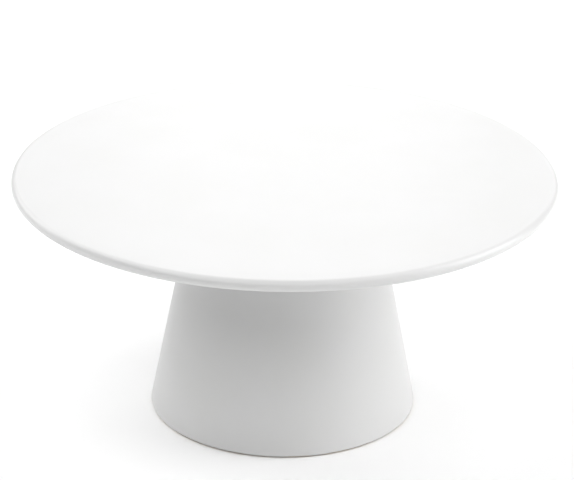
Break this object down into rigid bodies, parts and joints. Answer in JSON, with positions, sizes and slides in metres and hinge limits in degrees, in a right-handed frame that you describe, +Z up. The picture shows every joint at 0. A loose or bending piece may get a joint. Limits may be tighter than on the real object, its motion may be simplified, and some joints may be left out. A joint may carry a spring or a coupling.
{
  "type": "cake stand",
  "caption": "Round pedestal cake stand: a flat glazed plate with a full round rim, screwed on to a hollow tapered pedestal.",
  "frame": {"origin": "on the table, under the middle of the stand: the bottom centre of its box", "axes": "+Z up along the stand's axis of revolution and the screw's axis. The stand is round, so +X and +Y are free: the foot pads lie on the diagonals between them"},
  "size_m": [0.2999, 0.3, 0.1385],
  "materials": {
    "plate_glaze": "semi-gloss white glaze, bare clay on the seat",
    "pedestal_glaze": "satin white glaze, bare clay on the foot ring and the top edge",
    "steel": "plain stainless steel",
    "epoxy": "cured grey-white epoxy",
    "silicone": "matt white silicone",
    "nylon": "natural nylon",
    "pad_silicone": "milky silicone"
  },
  "bodies": {
    "pedestal": {"pedestal": "pedestal_glaze", "hex_nut": "steel", "nut_washer": "nylon", "nut_potting": "epoxy", "foot_pad_1": "pad_silicone", "foot_pad_2": "pad_silicone", "foot_pad_3": "pad_silicone", "foot_pad_4": "pad_silicone"},
    "gasket": {"gasket": "silicone"},
    "plate": {"plate": "plate_glaze", "plate_bolt": "steel", "bolt_potting": "epoxy"}
  },
  "joints": [
    {"name": "plate_rise", "type": "slide", "parent": "pedestal", "child": "gasket", "axis": [0, 0, 1], "range_m": [0, 0.0075]},
    {"name": "plate_turn", "type": "hinge", "parent": "gasket", "child": "plate", "pos_m": [0, 0, 0.109], "axis": [0, 0, 1], "range_deg": [0, 2160]}
  ],
  "couplings": [
    {"joint": "plate_rise", "follows": "plate_turn", "m_per_rad": 0.00019894}
  ]
}
